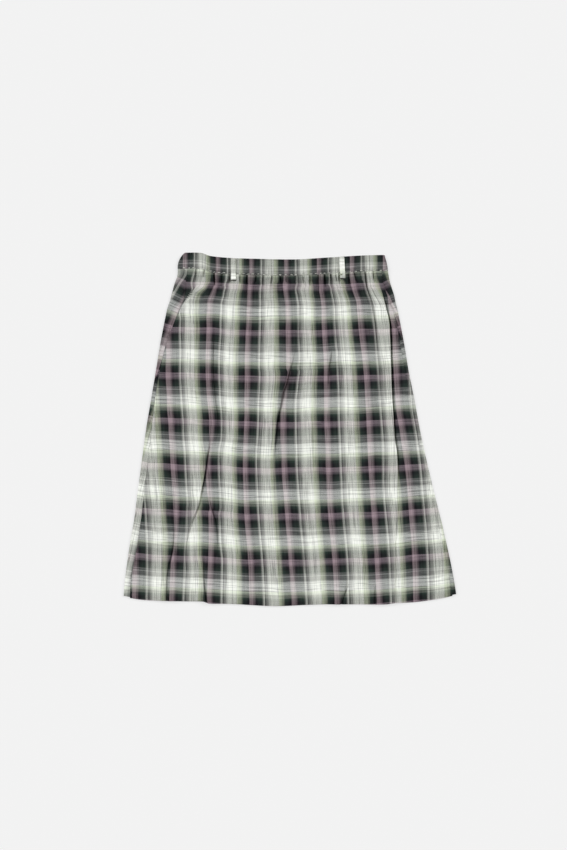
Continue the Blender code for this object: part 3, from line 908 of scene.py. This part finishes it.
# Yarns, as they mix in the cloth. A fade is woven from threads of ink between those of another yarn.
yarn = {
    "ink": (0.0164, 0.0144, 0.0194),
    "forest": (0.047, 0.069, 0.058),
    "cream": (0.96, 0.98, 0.905),
    "sage": (0.90, 0.97, 0.75),
    "rose": (0.44, 0.352, 0.373),
    "pale": (0.86, 0.875, 0.85),
    "mint": (0.84, 0.90, 0.77),
    "dustyRose": (0.325, 0.26, 0.298),
}

# One repeat of each set of threads: for each yarn, shares of the repeat and its share among the ink there.
warpSett = [
    ("rose", [(0, 1), (0.052, 0.97), (0.075, 0.76)]),
    ("ink", [(0.14, 1)]),
    ("forest", [(0.19, 0.6), (0.268, 1)]),
    ("cream", [(0.29, 0.13), (0.302, 0.38), (0.331, 0.74), (0.343, 0.74), (0.354, 0.21), (0.378, 0.23),
               (0.39, 0.38), (0.424, 0.43), (0.442, 0.69), (0.5, 0.97), (0.555, 0.99), (0.568, 0.8),
               (0.58, 0.93), (0.645, 1), (0.672, 0.86)]),
    ("sage", [(0.7, 0.78), (0.735, 0.65), (0.765, 0.51), (0.79, 0.41), (0.812, 0.2)]),
    ("forest", [(0.83, 1.1), (0.88, 0.6)]),
    ("ink", [(0.95, 1), (0.972, 1)]),
    ("rose", [(0.985, 1)]),
]
weftSett = [
    ("dustyRose", [(0, 1.2), (0.012, 1), (0.08, 1)]),
    ("ink", [(0.155, 1)]),
    ("forest", [(0.2, 0.3), (0.285, 0.9)]),
    ("pale", [(0.302, 0.27), (0.34, 0.23), (0.349, 0.5), (0.362, 0.5), (0.376, 0.23), (0.408, 0.3),
              (0.438, 0.23), (0.455, 0.36), (0.478, 0.76), (0.499, 0.85), (0.506, 0.76), (0.54, 1),
              (0.578, 0.98), (0.59, 0.72), (0.603, 0.92), (0.655, 1), (0.68, 0.9)]),
    ("mint", [(0.695, 0.84), (0.725, 0.76), (0.757, 0.58), (0.785, 0.26), (0.812, 0.31)]),
    ("forest", [(0.845, 1.1)]),
    ("ink", [(0.92, 1), (0.98, 1)]),
    ("dustyRose", [(0.994, 1)]),
]


def settStops(sett):
    return [(place, [blend(a, b, share) for a, b in zip(yarn["ink"], yarn[name])])
            for name, steps in sett for place, share in steps]


look = {
    "warpShare": 0.5,
    "deepen": 1.23,  # dark threads hide more than their share of the light ones
    "threadRepeat": 0.9,  # millimetres of two threads
    "threadContrast": 0.16,
    "streaks": (0.36, 0.31),  # waves of darker and lighter threads a millimetre, warp and weft
    "streakAlong": 0.008,  # the same along a thread
    "strays": 0.006,  # share of a repeat by which the threads stray
    "darkThreads": 0.53,  # how dark the odd threads are
    "oddness": 8.0,  # how sharply they stand out
    "oddFrom": 0.545,  # higher makes them fewer
    "lift": 1.105,  # how light the others are
    "slub": 0.6,
    "slubLimit": 0.03,
    "thin": 0.3,  # how far a thick thread pushes the crossing one out of sight
    "roughness": 0.82,
    "roughUneven": 0.15,
    "bump": 0.25,
    "bumpDepth": 0.0003,
    "sheen": 0.04,
    "sheenRoughness": 0.6,
    "specular": 0.08,
}
# the dark thread is partly painted shade: it stands in for the shadow under the belt loops' ends as well as
# their tacks
threadColours = {"cream": (0.74, 0.76, 0.68), "dark": (0.03, 0.03, 0.028)}


def newMaterial(name):
    material = bpy.data.materials.new(name)
    material.use_nodes = True
    tree = material.node_tree
    return material, Wire(tree, None), tree.nodes["Principled BSDF"]


def checkMaterial(name, brighten):
    material, start, shader = newMaterial(name)
    uv = start.node("UVMap", uv_map="sett")
    warp, weft = start.node("SeparateXYZ", {0: uv}, 0), start.node("SeparateXYZ", {0: uv}, 1)
    warpMm, weftMm = warp * check["warpRepeat"], weft * check["weftRepeat"]
    # threads of uneven thickness: long streaks along the warp and along the weft
    (warpOften, weftOften), along = look["streaks"], look["streakAlong"]
    warpStreak, weftStreak = (
        start.node("TexNoise", {"Vector": start.node("CombineXYZ", {0: warpMm * a, 1: weftMm * b}),
                                "Scale": 1.0, "Detail": 2.0, "Roughness": 0.7}, noise_dimensions="2D")
        for a, b in ((warpOften, along), (along, weftOften)))
    colours = []
    for repeats, streak, across, sett in ((warp, warpStreak, weftStreak, warpSett),
                                          (weft, weftStreak, warpStreak, weftSett)):
        place = start.maths("FRACT", repeats + (across - 0.5) * look["strays"])
        odd = (streak - look["oddFrom"]) * look["oddness"]
        dark = start.maths("MAXIMUM", start.maths("MINIMUM", odd, look["darkThreads"]), 0.0)
        yarnColour = start.node("ValToRGB", {0: place}, stops=settStops(sett))
        colours.append(yarnColour.times(look["lift"] - dark))
    # plain weave: which of the two threads lies on top
    turn = 2 * math.pi / look["threadRepeat"]
    over = start.maths("SINE", warpMm * turn) * start.maths("SINE", weftMm * turn)
    weftShare = (1 - look["warpShare"]) + over * look["threadContrast"]
    weftShare = weftShare + (weftStreak - warpStreak) * look["thin"]
    woven = start.node("Mix", {0: weftShare, 6: colours[0], 7: colours[1]}, 2, data_type="RGBA",
                       clamp_factor=True)
    mixed = start.node("Gamma", {"Color": woven, "Gamma": look["deepen"]})
    thick = start.maths("MINIMUM", warpStreak + weftStreak - 1, look["slubLimit"])
    slub = 1 + look["slubLimit"] + thick * look["slub"]
    relief = over * 0.5 + warpStreak + weftStreak
    feed(shader, {
        "Base Color": mixed.times(slub * brighten),
        "Roughness": look["roughness"] + (warpStreak - 0.5) * look["roughUneven"],
        "Normal": start.node("Bump", {"Strength": look["bump"], "Distance": look["bumpDepth"],
                                      "Height": relief}),
        "Sheen Weight": look["sheen"],
        "Sheen Roughness": look["sheenRoughness"],
        "Specular IOR Level": look["specular"],
    })
    return material


def threadMaterial(name, colour):
    material, start, shader = newMaterial(name)
    place = start.node("TexCoord", None, 3)
    twist = start.node("TexNoise", {"Vector": place, "Scale": 2500.0, "Detail": 1.0})
    shade = start.node("Mix", {0: twist, 6: (*[c * 0.75 for c in colour], 1), 7: (*colour, 1)}, 2,
                       data_type="RGBA")
    feed(shader, {
        "Base Color": shade,
        "Normal": start.node("Bump", {"Strength": 0.3, "Distance": 0.0002, "Height": twist}),
        "Roughness": 0.6,
        "Specular IOR Level": 0.2,
    })
    return material


print("building the cloth")
front, back = makeFront(), makeBack()
bandFront, bandBack = makeBandFront(), makeBandBack()
loopPieces = [makeLoop(*place) for place in loops["places"]]
print("sewing")
casingStitches, loopTacksAndShade = makeCasingStitches(), makeLoopTacksAndShade()

checkCloth = checkMaterial("checkCloth", 1.0)
paleCloth = checkMaterial("paleCloth", 1.04)
for piece in (front, back, bandFront, bandBack):
    piece.data.materials.append(checkCloth)
for piece in loopPieces:
    piece.data.materials.append(paleCloth)
casingStitches.data.materials.append(threadMaterial("creamThread", threadColours["cream"]))
# the dark tacks are partly painted shade under the loops' ends
loopTacksAndShade.data.materials.append(threadMaterial("darkThreadAndShade", threadColours["dark"]))

for piece, node in ((front, "front_panel"), (back, "back_panel"), (bandFront, "waistband_front"),
                    (bandBack, "waistband_back"), (loopPieces[0], "belt_loop_left"),
                    (loopPieces[1], "belt_loop_right")):
    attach(piece, "root")
    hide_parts(node)
    "loop_cloth" if "loop" in node else "plaid_cloth"
for piece in (casingStitches, loopTacksAndShade):
    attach(piece, "root")

studio = {
    "floor": 0.89,
    "floorReach": 20.0,
    "floorBelow": 0.0003,
    "glow": 0.7,  # the floor is lit from below too, which softens the shadows on it
    "sky": 0.15,
    "lampTilt": 50.0,
    "lampTurns": (112.0, -112.0),
    "lampAngle": 35.0,
    "lens": 100.0,
    "frameHigh": 1.70,
    "aim": (-0.013, 0.009),
}


def makeStudio():
    floorMesh = bpy.data.meshes.new("floor")
    reach = studio["floorReach"]
    corners = [(x * reach, y * reach, -studio["floorBelow"]) for x, y in ((-1, -1), (1, -1), (1, 1), (-1, 1))]
    floorMesh.from_pydata(corners, [], [(0, 1, 2, 3)])
    floor = addObject("floor", floorMesh)
    material, _, shader = newMaterial("floorPaint")
    feed(shader, {
        "Base Color": (studio["floor"] * (1 - studio["glow"]),) * 3 + (1,),
        "Emission Color": (studio["floor"],) * 3 + (1,),
        "Emission Strength": studio["glow"],
        "Roughness": 0.9,
        "Specular IOR Level": 0.0,
    })
    floorMesh.materials.append(material)

    world = bpy.data.worlds.new("studio")
    world.use_nodes = True
    feed(world.node_tree.nodes["Background"], {"Color": (1, 1, 1, 1), "Strength": studio["sky"]})
    scene.world = world

    tilt = math.radians(studio["lampTilt"])
    for number, turn in enumerate(studio["lampTurns"]):
        lamp = bpy.data.lights.new(f"lamp{number}", "SUN")
        lamp.energy = (1 - studio["sky"]) * math.pi / math.cos(tilt) / len(studio["lampTurns"])
        lamp.angle = math.radians(studio["lampAngle"])
        addObject(lamp.name, lamp).rotation_euler = (tilt, 0, math.radians(turn))

    camera = bpy.data.cameras.new("camera")
    camera.lens = studio["lens"]
    camera.sensor_width = 36.0
    camera.clip_end = 60.0
    cameraObject = addObject("camera", camera)
    cameraObject.location = (*studio["aim"], studio["frameHigh"] * studio["lens"] / camera.sensor_width)
    scene.camera = cameraObject
    scene.view_settings.view_transform = "Standard"
    scene.view_settings.look = "None"


makeStudio()
print("studio ready")
